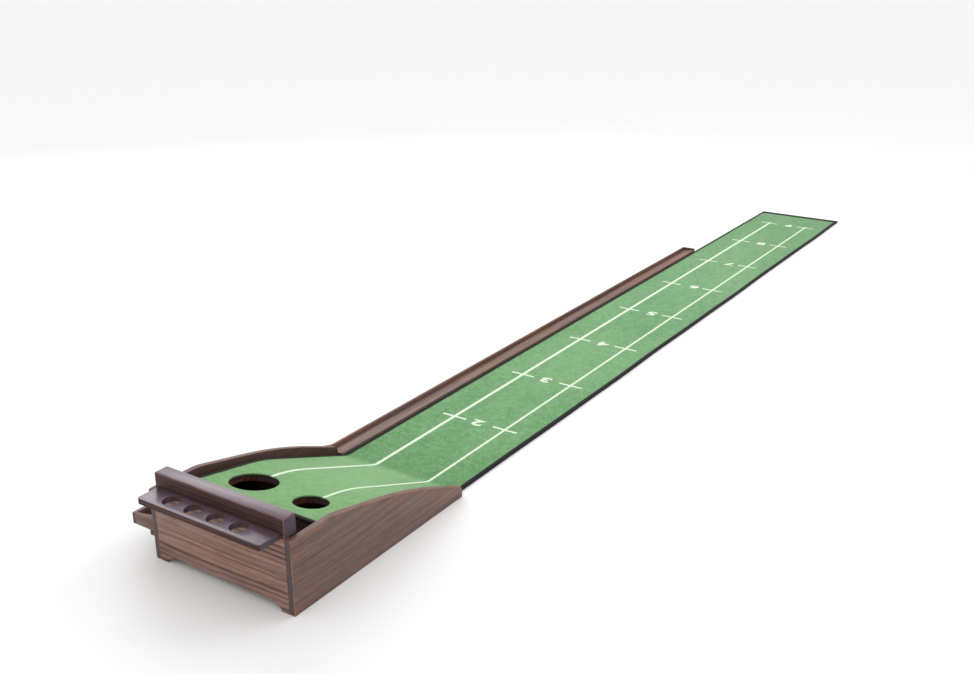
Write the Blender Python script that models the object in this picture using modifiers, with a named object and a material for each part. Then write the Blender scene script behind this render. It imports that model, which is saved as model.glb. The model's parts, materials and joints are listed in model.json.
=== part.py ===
"""A practice putting mat with a gravity ball return.

A wooden head holds a ramp with a large and a small hole. Balls that drop in, or roll over the rear edge of the
ramp, land on a sloping collector, leave through the left side panel, run down a side chute and come back along a
track beside the mat. A ball holder stands on the back panel. The turf mat climbs the ramp and runs out 3 m.

Design frame, in metres: X = 0 is the centre line between the two holes, Y = 0 the rear face of the head, +Y the
way to the player, Z = 0 the floor. An empty carries every piece and sets the object's middle over the origin.
"""

import math

import bmesh
import bpy
from mathutils import Matrix, Vector

GAP = 0.0003  # left between pieces that touch
SAG = 0.0001  # furthest that a chord may leave its arc
OVERCUT = 0.002  # how far a cutter passes the face it leaves through

# Head
HEAD_X = -0.010  # middle of the head, from the centre line between the holes
MAT_ROOM = 0.013  # width between the side panels, beyond the mat's own
HEAD_LENGTH = 0.4884
HEAD_HEIGHT = 0.141
PANEL = 0.012  # thickness of the side and back panels
TOP_LEVEL = 0.1085  # length of the level part of a side panel's top edge
TOP_SLOPE = 0.225  # fall of the top edge behind its bend
FRONT_SLOPE = 0.410  # and in front of it
TOP_RADIUS = 0.110
SIDE_RADIUS = 2.0
NOSE_HEIGHT = 0.0236
NOSE_RADIUS = 0.016
REAR_RADIUS = 0.0015
FOOT = 0.017  # width of the back panel's foot, beside each side panel
CUT_OUT = 0.0145  # height of the cut-out between the feet
STEP_RUN = 0.011  # the S-shaped step that joins foot and cut-out
STEP_RISE = 0.008
STEP_RADIUS = 0.005
STEP_START, STEP_END = 0.3, 1.4  # where the step's two bends are, as parts of its run

# Mat, from the floor up: tape, backing, turf, tape
MAT_X = -0.005
MAT_WIDTH = 0.299
MAT_REAR = 0.080
MAT_FAR = 3.090
TAPE = 0.0005
TURF_JOINT = 0.060  # where the turf passes from its ramp solid to its flat one, in front of the head
HOLE_JOINT = 0.022  # and from the solids with the holes to the ramp's, in front of the large hole
BACKING = 0.0018
TURF = 0.0030
BINDING = 0.009  # width of the tapes on the face of the mat
FAR_BINDING = 0.024  # and of the one at the far end

# Ramp, as the line that the face of the turf follows
BELOW_TOP = 0.0085  # from the top of the side panels down to the turf, at the rear
RAMP_TOP_SLOPE = 0.1857
RAMP_FRONT_SLOPE = 0.386
RAMP_BEND_RADIUS = 0.43
RAMP_FOOT = 0.0061  # where the ramp line would meet the mat, in front of the head
RAMP_FOOT_RADIUS = 0.050
DECK = 0.0095
DECK_REAR = 0.078
DECK_TOE = 0.0074  # from the toe of the deck to the front of the side panels
HOLE_Y = 0.148
HOLE_SPACING = 0.138
LARGE_HOLE = 0.092
SMALL_HOLE = 0.066
RAIL = 0.018  # thickness of the cross rails under the deck
MID_RAIL_Y = 0.290
FRONT_RAIL_Y = 0.385

# Collector under the holes
COLLECTOR = 0.006
COLLECTOR_LOW = 0.0628  # top of its lowest corner, at the left and rear
COLLECTOR_SLOPE_X = 0.0096
COLLECTOR_SLOPE_Y = 0.013
STOP_Y = 0.205
STOP = 0.008
STOP_HANG = 0.004  # how far the stop board reaches below the collector
EXIT_Y = 0.016
EXIT_LENGTH = 0.050
EXIT_BOTTOM = 0.0622
EXIT_HEIGHT = 0.050

# Side chute
CHUTE_WIDTH = 0.046
CHUTE_WALL = 0.0077
CHUTE_TOP = 0.0618  # top of its floor, beside the panel
CHUTE_TILT = 0.0033  # fall of the floor across its width, outward
CHUTE_FLOOR = 0.0073
CHUTE_LEVEL = 0.055  # length of its level rear part
CHUTE_END = 0.4042
CHUTE_END_TOP = 0.0125
CHUTE_BEND_RADIUS = 0.20
CHUTE_RIM = 0.0147  # height of the wall over the floor, at the rear
CHUTE_END_RIM = 0.0060  # and at the front end
LIP_OUTER = 0.006
LIP_INNER = 0.018
BATTEN = 0.010
BATTEN_END = 0.320

# Track beside the mat
TRACK_GAP = 0.0008  # between the mat's edge and the track
TRACK_FLOOR = 0.038
TRACK_INNER_TOP = 0.0112
TRACK_OUTER_TOP = 0.0058
TRACK_WALL = 0.0057
TRACK_RIM = 0.015
TRACK_START = 0.0005  # from the nose of the head
TRACK_END = 2.390
TRACK_PIECES = 4
END_STOP = 0.006
MOUTH_TOP = 0.0060
MOUTH_LENGTH = 0.057  # level part of the mouth's outer side, before it turns in
MOUTH_TURN = 0.096  # and where the turn has reached the track, from the mouth's rear end
MOUTH_RADIUS = 0.020
TRACK_PIN = 0.004
TRACK_PIN_Z = 0.004
TRACK_PIN_LENGTH = 0.024
TRACK_PIN_INSETS = (0.008, 0.0235)  # from the inner edge of the floor

# Ball holder
RAIL_X = -0.006
RAIL_LENGTH = 0.305
RAIL_HEIGHT = 0.038
RAIL_DEPTH = 0.030
RAIL_RADIUS = 0.003
SHELF_X = -0.007
SHELF_LENGTH = 0.288
SHELF = 0.011
SHELF_REAR = -0.047
SHELF_RADIUS = 0.005
SEAT = 0.033
SEATS = 4
SEAT_PITCH = 0.053
SEAT_X = -0.0125
SEAT_Y = -0.0215
HOLDER_PIN = 0.006
HOLDER_PIN_REACH = 0.120  # from the middle of the holder
HOLDER_PIN_DOWN = 0.010  # into the back panel
HOLDER_PIN_UP = 0.012  # into the rail

# What follows from them
INNER_LEFT = HEAD_X - (MAT_WIDTH + MAT_ROOM) / 2
INNER_RIGHT = HEAD_X + (MAT_WIDTH + MAT_ROOM) / 2
HEAD_LEFT = INNER_LEFT - PANEL
HEAD_RIGHT = INNER_RIGHT + PANEL
MAT_LEFT = MAT_X - MAT_WIDTH / 2
MAT_RIGHT = MAT_X + MAT_WIDTH / 2
MAT_DEPTH = TURF + GAP + BACKING + GAP + TAPE  # from the face of the turf to the floor
HOLES = ((-HOLE_SPACING / 2, LARGE_HOLE), (HOLE_SPACING / 2, SMALL_HOLE))
CHUTE_INNER = HEAD_LEFT - GAP
CHUTE_OUTER = CHUTE_INNER - CHUTE_WIDTH
CHUTE_EDGE = CHUTE_OUTER - GAP - CHUTE_WALL
TRACK_INNER = MAT_LEFT - TRACK_GAP
TRACK_OUTER = TRACK_INNER - TRACK_FLOOR
TRACK_EDGE = TRACK_OUTER - GAP - TRACK_WALL
TRACK_REAR = HEAD_LENGTH + TRACK_START
TRACK_LENGTH = (TRACK_END - TRACK_REAR) / TRACK_PIECES
MOUTH_REAR = CHUTE_END + 2 * GAP
HOLDER_BOTTOM = HEAD_HEIGHT + GAP

SIDE_AXES = {
    "X": Matrix(((0, 0, 1), (1, 0, 0), (0, 1, 0))),
    "Y": Matrix(((1, 0, 0), (0, 0, -1), (0, 1, 0))),
    "Z": Matrix.Identity(3),
}


def clear_scene():
    for obj in list(bpy.data.objects):
        bpy.data.objects.remove(obj)


def new_collection(name):
    collection = bpy.data.collections.new(name)
    bpy.context.scene.collection.children.link(collection)
    return collection


def principled(name, colour, roughness, metallic=0.0):
    material = bpy.data.materials.new(name)
    material.use_nodes = True
    shader = material.node_tree.nodes["Principled BSDF"]
    shader.inputs["Base Color"].default_value = (*colour, 1.0)
    shader.inputs["Roughness"].default_value = roughness
    shader.inputs["Metallic"].default_value = metallic
    return material


# Outlines

def rounded(corners):
    """Points through corners (u, v, radius), each rounded by an arc that fits its two sides."""
    points = []
    for index, (u, v, radius) in enumerate(corners):
        corner = Vector((u, v))
        if not radius:
            points.append(corner)
            continue
        back = Vector(corners[index - 1][:2]) - corner
        on = Vector(corners[(index + 1) % len(corners)][:2]) - corner
        turn = math.pi - back.angle(on)
        reach = min(radius * math.tan(turn / 2), 0.49 * min(back.length, on.length))
        radius = reach / math.tan(turn / 2)
        start = corner + back.normalized() * reach
        centre = corner + (back.normalized() + on.normalized()).normalized() * radius / math.cos(turn / 2)
        steps = max(2, math.ceil(turn / math.sqrt(8 * SAG / radius)))
        way = -turn / steps if back.cross(on) > 0 else turn / steps
        for step in range(steps + 1):
            points.append(centre + Matrix.Rotation(way * step, 2) @ (start - centre))
    return points


def offset(line, distance):
    """The open line moved to its left by distance, with its corners mitred."""
    moved = []
    for index, point in enumerate(line):
        before = line[max(index, 1)] - line[max(index, 1) - 1]
        after = line[min(index + 1, len(line) - 1)] - line[min(index, len(line) - 2)]
        sides = [Vector((-way.y, way.x)).normalized() for way in (before, after)]
        normal = (sides[0] + sides[1]).normalized()
        moved.append(point + normal * distance / normal.dot(sides[0]))
    return moved


def height(line, y):
    """Height of the line at y."""
    for start, end in zip(line, line[1:]):
        if y <= end.x or end is line[-1]:
            return start.y + (end.y - start.y) * (y - start.x) / (end.x - start.x)


def part_of(line, start, end):
    """The stretch of the line between two values of y."""
    inside = [point for point in line if start + SAG < point.x < end - SAG]
    return [Vector((start, height(line, start))), *inside, Vector((end, height(line, end)))]


def band(line, low, high):
    """Closed outline between two offsets of an open line."""
    return offset(line, low) + offset(line, high)[::-1]


def rectangle(u0, v0, u1, v1):
    return [Vector((u0, v0)), Vector((u1, v0)), Vector((u1, v1)), Vector((u0, v1))]


def meeting(start, fall, end, end_fall):
    """Where the line that falls from start meets the line that falls to end."""
    u = (start[1] + fall * start[0] - end[1] - end_fall * end[0]) / (fall - end_fall)
    return u, start[1] - fall * (u - start[0])


# Solids

def add(name, mesh, collection, material=None):
    obj = bpy.data.objects.new(name, mesh)
    collection.objects.link(obj)
    obj.parent = carrier
    if material:
        mesh.materials.append(material)
    else:
        obj.hide_render = True
        obj.display_type = "WIRE"
    return obj


def board(name, outline, axis, start, end, material=None, collection=None):
    """A board with its outline on the plane across axis, from start to end along it, and its origin inside."""
    curve = bpy.data.curves.new(name, "CURVE")
    curve.dimensions = "2D"
    curve.fill_mode = "BOTH"
    curve.extrude = abs(end - start) / 2
    spline = curve.splines.new("POLY")
    spline.points.add(len(outline) - 1)
    middle = sum(outline, Vector((0, 0))) / len(outline)
    for spot, (u, v) in zip(spline.points, outline):
        spot.co = (u - middle.x, v - middle.y, 0, 1)
    spline.use_cyclic_u = True
    source = bpy.data.objects.new(name + "_outline", curve)
    pieces.objects.link(source)
    graph = bpy.context.evaluated_depsgraph_get()
    mesh = bpy.data.meshes.new_from_object(source.evaluated_get(graph))
    bpy.data.objects.remove(source)
    mesh.transform(SIDE_AXES[axis].to_4x4())
    weld(mesh)
    obj = add(name, mesh, collection or pieces, material)
    obj.location = SIDE_AXES[axis] @ Vector((middle.x, middle.y, 0))
    obj.location["XYZ".index(axis)] = (start + end) / 2
    return obj


def weld(mesh):
    shape = bmesh.new()
    shape.from_mesh(mesh)
    bmesh.ops.remove_doubles(shape, verts=shape.verts, dist=0.00001)
    bmesh.ops.recalc_face_normals(shape, faces=shape.faces)
    shape.to_mesh(mesh)
    shape.free()


def solid(name, shape, place, material=None, collection=None):
    mesh = bpy.data.meshes.new(name)
    shape.to_mesh(mesh)
    shape.free()
    obj = add(name, mesh, collection or pieces, material)
    obj.location = place
    return obj


def box(name, low, high, material=None, collection=None):
    shape = bmesh.new()
    size = Vector(high) - Vector(low)
    bmesh.ops.create_cube(shape, size=1, matrix=Matrix.Diagonal((*size, 1)))
    return solid(name, shape, (Vector(low) + Vector(high)) / 2, material, collection)


def rod(name, diameter, length, place, axis="Z", material=None, collection=None):
    """A cylinder around a line along Z or Y, with its middle at place."""
    shape = bmesh.new()
    turn = Matrix.Rotation(math.pi / 2, 4, "X") if axis == "Y" else Matrix.Identity(4)
    radius = diameter / 2
    sides = 4 * math.ceil(math.pi / 2 / math.sqrt(8 * SAG / radius))
    bmesh.ops.create_cone(
        shape, cap_ends=True, segments=sides, radius1=radius, radius2=radius, depth=length, matrix=turn
    )
    mesh_object = solid(name, shape, place, material, collection)
    mesh_object.data.shade_smooth()
    mesh_object.data.set_sharp_from_angle(angle=math.radians(40))
    return mesh_object


def loft(name, sections, material):
    """A solid through closed sections with the same number of points, for a board whose section changes."""
    shape = bmesh.new()
    rings = [[shape.verts.new(point) for point in section] for section in sections]
    for ring, following in zip(rings, rings[1:]):
        for index in range(len(ring)):
            before = index - 1
            shape.faces.new((ring[before], ring[index], following[index], following[before]))
    shape.faces.new(rings[0])
    shape.faces.new(rings[-1])
    bmesh.ops.recalc_face_normals(shape, faces=shape.faces)
    return solid(name, shape, (0, 0, 0), material)


def combine(obj, other, operation="DIFFERENCE"):
    modifier = obj.modifiers.new(other.name, "BOOLEAN")
    modifier.solver = "EXACT"
    modifier.operation = operation
    modifier.object = other


def cut(objects, cutter):
    for obj in objects:
        combine(obj, cutter)


# The lines that several pieces follow

def ramp_corners():
    """Corners of the face of the turf, over the rear edge, the bend and the foot of the ramp."""
    foot = (HEAD_LENGTH + RAMP_FOOT, MAT_DEPTH)
    rear = (MAT_REAR, HEAD_HEIGHT - BELOW_TOP)
    bend = meeting(rear, RAMP_TOP_SLOPE, foot, RAMP_FRONT_SLOPE)
    return rear, bend, foot


def turf_face():
    rear, bend, foot = ramp_corners()
    return rounded([(*rear, 0), (*bend, RAMP_BEND_RADIUS), (*foot, RAMP_FOOT_RADIUS), (MAT_FAR, MAT_DEPTH, 0)])


def deck_face():
    """Top of the deck: the same ramp without the mat's foot, under the mat."""
    rear, bend, foot = ramp_corners()
    line = rounded([(*rear, 0), (*bend, RAMP_BEND_RADIUS), (*foot, 0)])
    return offset(line, -MAT_DEPTH - GAP)


# Head

def side_panels():
    top_bend = meeting((TOP_LEVEL, HEAD_HEIGHT), TOP_SLOPE, (HEAD_LENGTH, NOSE_HEIGHT), FRONT_SLOPE)
    outline = rounded(
        [
            (0, 0, 0),
            (0, HEAD_HEIGHT, REAR_RADIUS),
            (TOP_LEVEL, HEAD_HEIGHT, TOP_RADIUS),
            (*top_bend, SIDE_RADIUS),
            (HEAD_LENGTH, NOSE_HEIGHT, NOSE_RADIUS),
            (HEAD_LENGTH, 0, 0),
        ]
    )
    left = board("side_panel_left", outline, "X", HEAD_LEFT, INNER_LEFT, wood)
    board("side_panel_right", outline, "X", INNER_RIGHT, HEAD_RIGHT, wood)
    exit_cutter = box(
        "exit_cutter",
        (HEAD_LEFT - OVERCUT, EXIT_Y, EXIT_BOTTOM),
        (INNER_LEFT + OVERCUT, EXIT_Y + EXIT_LENGTH, EXIT_BOTTOM + EXIT_HEIGHT),
        collection=cutters,
    )
    combine(left, exit_cutter)


def back_panel():
    left = INNER_LEFT + GAP
    right = INNER_RIGHT - GAP
    steps = [
        (FOOT, 0, 0),
        (FOOT + STEP_START * STEP_RUN, STEP_RISE, STEP_RADIUS),
        (FOOT + STEP_RUN, STEP_RISE, 0),
        (FOOT + STEP_END * STEP_RUN, CUT_OUT, STEP_RADIUS),
    ]
    outline = rounded(
        [(left, 0, 0)]
        + [(left + u, v, radius) for u, v, radius in steps]
        + [(right - u, v, radius) for u, v, radius in reversed(steps)]
        + [(right, 0, 0), (right, HEAD_HEIGHT, 0), (left, HEAD_HEIGHT, 0)]
    )
    return board("back_panel", outline, "Y", 0, PANEL, wood)


def ramp_deck():
    top = deck_face()
    rear_down = Vector((DECK_REAR, height(top, DECK_REAR)))
    toe = HEAD_LENGTH - DECK_TOE
    outline = [rear_down, *part_of(top, DECK_REAR + GAP, toe)]
    outline += part_of(offset(top, -DECK), DECK_REAR, toe)[::-1]
    deck = board("ramp_deck", outline, "X", INNER_LEFT + GAP, INNER_RIGHT - GAP, deck_wood)
    under_floor = box(
        "under_floor",
        (HEAD_LEFT, 0, -HEAD_HEIGHT),
        (HEAD_RIGHT, HEAD_LENGTH, 0),
        collection=cutters,
    )
    combine(deck, under_floor)
    return deck


def cross_rails():
    underside = offset(deck_face(), -DECK - GAP)
    for name, y in (("cross_rail_mid", MID_RAIL_Y), ("cross_rail_front", FRONT_RAIL_Y)):
        top = part_of(underside, y, y + RAIL)
        outline = [Vector((y, 0)), *top, Vector((y + RAIL, 0))]
        board(name, outline, "X", INNER_LEFT + GAP, INNER_RIGHT - GAP, hidden_wood)


def collector():
    left = INNER_LEFT + GAP
    right = INNER_RIGHT - GAP
    rear = PANEL + GAP
    front = STOP_Y - GAP

    def section(x):
        rise = COLLECTOR_LOW + (x - left) * COLLECTOR_SLOPE_X
        ends = [(rear, rise), (front, rise + (front - rear) * COLLECTOR_SLOPE_Y)]
        return [(x, y, z) for y, z in ends] + [(x, y, z - COLLECTOR) for y, z in reversed(ends)]

    loft("collector_floor", [section(left), section(right)], hidden_wood)
    underside = offset(deck_face(), -DECK - GAP)
    bottom = COLLECTOR_LOW - COLLECTOR - STOP_HANG
    top = part_of(underside, STOP_Y, STOP_Y + STOP)
    outline = [Vector((STOP_Y, bottom)), *top, Vector((STOP_Y + STOP, bottom))]
    board("collector_stop", outline, "X", left, right, hidden_wood)


def chute_line(rise, end_rise):
    """A line over the chute: level at the rear, then down to its front end."""
    corners = [
        (0, rise, 0),
        (CHUTE_LEVEL, rise, CHUTE_BEND_RADIUS),
        (CHUTE_END, end_rise, 0),
    ]
    return rounded(corners)


def side_chute():
    top = chute_line(CHUTE_TOP, CHUTE_END_TOP)
    bottom = [(y, z - CHUTE_FLOOR) for y, z in top[::-1]]
    sections = []
    for x, drop in ((CHUTE_INNER, 0), (CHUTE_OUTER, CHUTE_TILT)):
        sections.append([(x, y, z - drop) for y, z in top] + [(x, y, z) for y, z in bottom])
    floor = loft("chute_floor", sections, wood)

    rim = chute_line(CHUTE_TOP + CHUTE_RIM, CHUTE_END_TOP + CHUTE_END_RIM)
    wall_outline = rim + [Vector(point) for point in bottom]
    board("chute_wall", wall_outline, "X", CHUTE_EDGE, CHUTE_OUTER - GAP, wood)

    low = CHUTE_TOP - CHUTE_FLOOR
    high = CHUTE_TOP + CHUTE_RIM
    wedge = [(CHUTE_OUTER, 0), (CHUTE_INNER, 0), (CHUTE_INNER, LIP_INNER), (CHUTE_OUTER, LIP_OUTER)]
    board("chute_end_lip", [Vector(point) for point in wedge], "Z", low, high, wood)
    room = [
        (CHUTE_OUTER - OVERCUT, -OVERCUT),
        (CHUTE_INNER + OVERCUT, -OVERCUT),
        (CHUTE_INNER + OVERCUT, LIP_INNER + 2 * GAP),
        (CHUTE_OUTER - OVERCUT, LIP_OUTER + GAP),
    ]
    lip_room = board("lip_room", [Vector(point) for point in room], "Z", 0, HEAD_HEIGHT, collection=cutters)
    combine(floor, lip_room)

    under = [Vector((y, z - CHUTE_FLOOR - GAP)) for y, z in top]
    under = part_of(under, GAP, BATTEN_END)
    lower = [Vector((y, z - BATTEN)) for y, z in under[::-1]]
    board("chute_batten", under + lower, "X", CHUTE_INNER - BATTEN, CHUTE_INNER, wood)


# Mat

def mat():
    """The turf's two solids with a hole, and the backing. The turf is one sheet, and its solid is in four."""
    face = turf_face()
    inset = TAPE + GAP
    left, right = MAT_LEFT + inset, MAT_RIGHT - inset
    inner = part_of(face, MAT_REAR + inset, MAT_FAR - inset)
    past_holes = HOLE_Y + LARGE_HOLE / 2 + HOLE_JOINT
    past_head = HEAD_LENGTH + TURF_JOINT
    stretches = (
        ("mat_turf_runway", left, right, past_head + GAP, MAT_FAR - inset),
        ("mat_turf_ramp", left, right, past_holes + GAP, past_head),
        ("mat_turf_large_hole", left, 0, MAT_REAR + inset, past_holes),
        ("mat_turf_small_hole", GAP, right, MAT_REAR + inset, past_holes),
    )
    turf = [
        board(name, band(part_of(inner, start, end), -TURF, 0), "X", low, high, turf_green)
        for name, low, high, start, end in stretches
    ]
    backing_top = -TURF - GAP
    outline = band(inner, backing_top - BACKING, backing_top)
    backing = board("mat_backing", outline, "X", left, right, backing_black)
    bindings(face)
    return turf[-2:], backing


def bindings(face):
    """Four folded tapes, each open towards the mat that it holds."""
    high = GAP + TAPE
    longer = part_of(face, MAT_REAR - OVERCUT, MAT_FAR + OVERCUT)
    room = band(longer, -MAT_DEPTH + TAPE, GAP)
    sides = (("binding_left", MAT_LEFT, 1), ("binding_right", MAT_RIGHT, -1))
    for name, edge, inward in sides:
        span = sorted((edge, edge + inward * BINDING))
        tape = board(name, band(face, -MAT_DEPTH, high), "X", *span, tape_black)
        start = edge + inward * TAPE
        end = edge + inward * (BINDING + OVERCUT)
        combine(tape, board(name + "_room", room, "X", *sorted((start, end)), collection=cutters))
    left = MAT_LEFT + BINDING + GAP
    right = MAT_RIGHT - BINDING - GAP
    ends = (
        ("binding_head", MAT_REAR, MAT_REAR + BINDING, MAT_REAR + TAPE, MAT_REAR + BINDING + OVERCUT),
        ("binding_far", MAT_FAR - FAR_BINDING, MAT_FAR, MAT_FAR - FAR_BINDING - OVERCUT, MAT_FAR - TAPE),
    )
    for name, start, end, room_start, room_end in ends:
        tape = board(name, band(part_of(face, start, end), -MAT_DEPTH, high), "X", left, right, tape_black)
        inside = band(part_of(face, room_start, room_end), -MAT_DEPTH + TAPE, GAP)
        room_piece = board(
            name + "_room", inside, "X", left - OVERCUT, right + OVERCUT, collection=cutters
        )
        combine(tape, room_piece)


def holes(deck, turf, backing):
    """The two round holes, each through the deck, the backing and its own solid of the turf."""
    middle = HEAD_HEIGHT - BELOW_TOP
    for name, patch, (x, diameter) in zip(("large_hole", "small_hole"), turf, HOLES):
        cutter = rod(name, diameter, HEAD_HEIGHT, (x, HOLE_Y, middle), collection=cutters)
        cut([deck, patch, backing], cutter)


# Track

def track():
    floors = []
    for number in range(TRACK_PIECES):
        start = TRACK_REAR + number * TRACK_LENGTH
        end = start + TRACK_LENGTH - GAP
        section = [
            Vector((TRACK_INNER, 0)),
            Vector((TRACK_INNER, TRACK_INNER_TOP)),
            Vector((TRACK_OUTER, TRACK_OUTER_TOP)),
            Vector((TRACK_OUTER, 0)),
        ]
        name = f"track_floor_{number + 1}"
        floor = board(name, section, "Y", start, end, wood)
        floors.append(floor)
        if number == 0:
            combine(floor, mouth_floor(), "UNION")
            face = wall_line(end)
            board("track_wall_1", face + offset(face, TRACK_WALL)[::-1], "Z", 0, TRACK_RIM, wood)
        else:
            outline = rectangle(TRACK_EDGE, start, TRACK_OUTER - GAP, end)
            board(f"track_wall_{number + 1}", outline, "Z", 0, TRACK_RIM, wood)
    box(
        "track_end_stop",
        (TRACK_EDGE, TRACK_END, 0),
        (TRACK_INNER, TRACK_END + END_STOP, TRACK_RIM),
        wood,
    )
    pin_joints(floors)


def wall_line(end):
    """Inner face of the first wall, which turns in from the chute's width to the track's by two arcs."""
    corners = [
        (CHUTE_OUTER - GAP, MOUTH_REAR, 0),
        (CHUTE_OUTER - GAP, MOUTH_REAR + MOUTH_LENGTH, MOUTH_RADIUS),
        (TRACK_OUTER - GAP, MOUTH_REAR + MOUTH_TURN, MOUTH_RADIUS),
        (TRACK_OUTER - GAP, end, 0),
    ]
    return rounded(corners)


def mouth_floor():
    """Level floor beside the nose of the left panel, which takes the balls from the chute to the track."""
    front = MOUTH_REAR + 2 * MOUTH_TURN
    outer = offset(wall_line(front), -GAP)
    inner = [
        (TRACK_OUTER + OVERCUT, front),
        (TRACK_OUTER + OVERCUT, TRACK_REAR + GAP),
        (CHUTE_INNER, TRACK_REAR + GAP),
        (CHUTE_INNER, MOUTH_REAR),
    ]
    outline = outer + [Vector(point) for point in inner]
    return board("mouth_floor", outline, "Z", 0, MOUTH_TOP, collection=cutters)


def pin_joints(floors):
    """Two pins at each joint, in bores of both floors."""
    bore = TRACK_PIN + 2 * GAP
    for number in range(1, TRACK_PIECES):
        y = TRACK_REAR + number * TRACK_LENGTH
        for letter, inset in zip("ab", TRACK_PIN_INSETS):
            place = (TRACK_INNER - inset, y, TRACK_PIN_Z)
            rod(f"track_pin_{number}{letter}", TRACK_PIN, TRACK_PIN_LENGTH, place, "Y", steel)
            bore_length = TRACK_PIN_LENGTH + 4 * GAP
            bore_name = f"track_bore_{number}{letter}"
            bore_cutter = rod(bore_name, bore, bore_length, place, "Y", collection=cutters)
            cut(floors[number - 1 : number + 1], bore_cutter)


# Ball holder

def ball_holder(back):
    """A deep rail that stands on the back panel, with a thin shelf glued to its rear face, low down."""
    rail_ends = [RAIL_X + way * RAIL_LENGTH / 2 for way in (-1, 1)]
    rail = box(
        "holder_rail",
        (rail_ends[0], 0, HOLDER_BOTTOM),
        (rail_ends[1], RAIL_DEPTH, HOLDER_BOTTOM + RAIL_HEIGHT),
        wood,
    )
    bevel = rail.modifiers.new("rounded edges", "BEVEL")
    bevel.width = RAIL_RADIUS
    bevel.segments = 2
    left, right = (SHELF_X + way * SHELF_LENGTH / 2 for way in (-1, 1))
    outline = rounded(
        [
            (left, SHELF_REAR, SHELF_RADIUS),
            (right, SHELF_REAR, SHELF_RADIUS),
            (right, -GAP, 0),
            (left, -GAP, 0),
        ]
    )
    shelf = board("holder_shelf", outline, "Z", HOLDER_BOTTOM, HOLDER_BOTTOM + SHELF, wood)
    for number in range(SEATS):
        x = SEAT_X + (number - (SEATS - 1) / 2) * SEAT_PITCH
        place = (x, SEAT_Y, HOLDER_BOTTOM + SHELF / 2)
        combine(shelf, rod(f"seat_{number + 1}", SEAT, SHELF + 2 * OVERCUT, place, collection=cutters))
    low = HEAD_HEIGHT - HOLDER_PIN_DOWN
    high = HOLDER_BOTTOM + HOLDER_PIN_UP
    for side, way in (("left", -1), ("right", 1)):
        place = (RAIL_X + way * HOLDER_PIN_REACH, PANEL / 2, (low + high) / 2)
        rod(f"holder_pin_{side}", HOLDER_PIN, high - low, place, material=steel)
        bore = rod(
            f"holder_bore_{side}", HOLDER_PIN + 2 * GAP, high - low + 4 * GAP, place, collection=cutters
        )
        cut([rail, back], bore)


clear_scene()
pieces = new_collection("practice_putting_mat")
cutters = new_collection("cutters")
cutters.hide_render = True

wood = principled("stained wood", (0.17, 0.11, 0.09), 0.45)
deck_wood = principled("deck wood", (0.13, 0.06, 0.05), 0.55)
hidden_wood = principled("plain wood", (0.30, 0.20, 0.13), 0.60)
turf_green = principled("green turf", (0.15, 0.36, 0.14), 0.90)
backing_black = principled("rubber backing", (0.03, 0.03, 0.03), 0.80)
tape_black = principled("black binding", (0.03, 0.03, 0.03), 0.85)
steel = principled("steel pins", (0.55, 0.55, 0.55), 0.35, 1.0)

# The middle of the bounding box goes over the origin.
carrier = bpy.data.objects.new("carrier", None)
pieces.objects.link(carrier)
carrier.location = (-(CHUTE_EDGE + HEAD_RIGHT) / 2, -(SHELF_REAR + MAT_FAR) / 2, 0)

side_panels()
back = back_panel()
deck = ramp_deck()
cross_rails()
collector()
side_chute()
turf, backing = mat()
holes(deck, turf, backing)
track()
ball_holder(back)
bpy.context.view_layer.update()
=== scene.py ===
# %% [markdown]
# # A practice putting mat
# The mat climbs a wooden ramp head with two holes, and a track beside it brings the balls back. The solids
# already hold every size and place, so this lesson only makes the surfaces: boards with rounded edges, turf
# with a pile, folded binding with its stitches, and the wood stain, each as a material made of nodes.

# %% Load the frame
import json
import math

import bmesh
import bpy
import numpy as np
from mathutils import Matrix, Vector, noise


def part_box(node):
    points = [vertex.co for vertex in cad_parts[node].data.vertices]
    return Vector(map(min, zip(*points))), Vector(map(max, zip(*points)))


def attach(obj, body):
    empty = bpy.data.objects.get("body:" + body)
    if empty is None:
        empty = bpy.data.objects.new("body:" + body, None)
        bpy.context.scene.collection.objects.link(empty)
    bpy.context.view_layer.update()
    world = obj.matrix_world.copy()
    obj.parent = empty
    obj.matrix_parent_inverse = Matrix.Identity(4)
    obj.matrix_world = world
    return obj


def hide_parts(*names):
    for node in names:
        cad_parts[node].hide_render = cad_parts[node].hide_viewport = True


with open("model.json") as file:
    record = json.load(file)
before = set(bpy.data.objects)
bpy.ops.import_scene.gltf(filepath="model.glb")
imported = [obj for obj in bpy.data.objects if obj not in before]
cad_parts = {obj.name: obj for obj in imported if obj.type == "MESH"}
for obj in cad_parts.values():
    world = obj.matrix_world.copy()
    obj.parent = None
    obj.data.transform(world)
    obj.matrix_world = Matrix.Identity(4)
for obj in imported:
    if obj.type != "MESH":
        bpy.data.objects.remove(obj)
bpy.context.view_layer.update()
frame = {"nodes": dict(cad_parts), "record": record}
record = frame["record"]
scene = bpy.context.scene

# %% [markdown]
# ## Places
# Every place comes from the boxes of the solids. The middle between the two holes is where the printed lines
# are centred, and the rear face of the head is where lengths along the mat start.

# %% Places taken from the solids
panel_low, panel_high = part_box("side_panel_right")
far_low, far_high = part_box("binding_far")

openings = {opening["name"]: opening["box_m"] for opening in record["physics"]["openings"]}


def middle_of(opening):
    low, high = openings[opening]
    return (Vector(low) + Vector(high)) / 2


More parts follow.
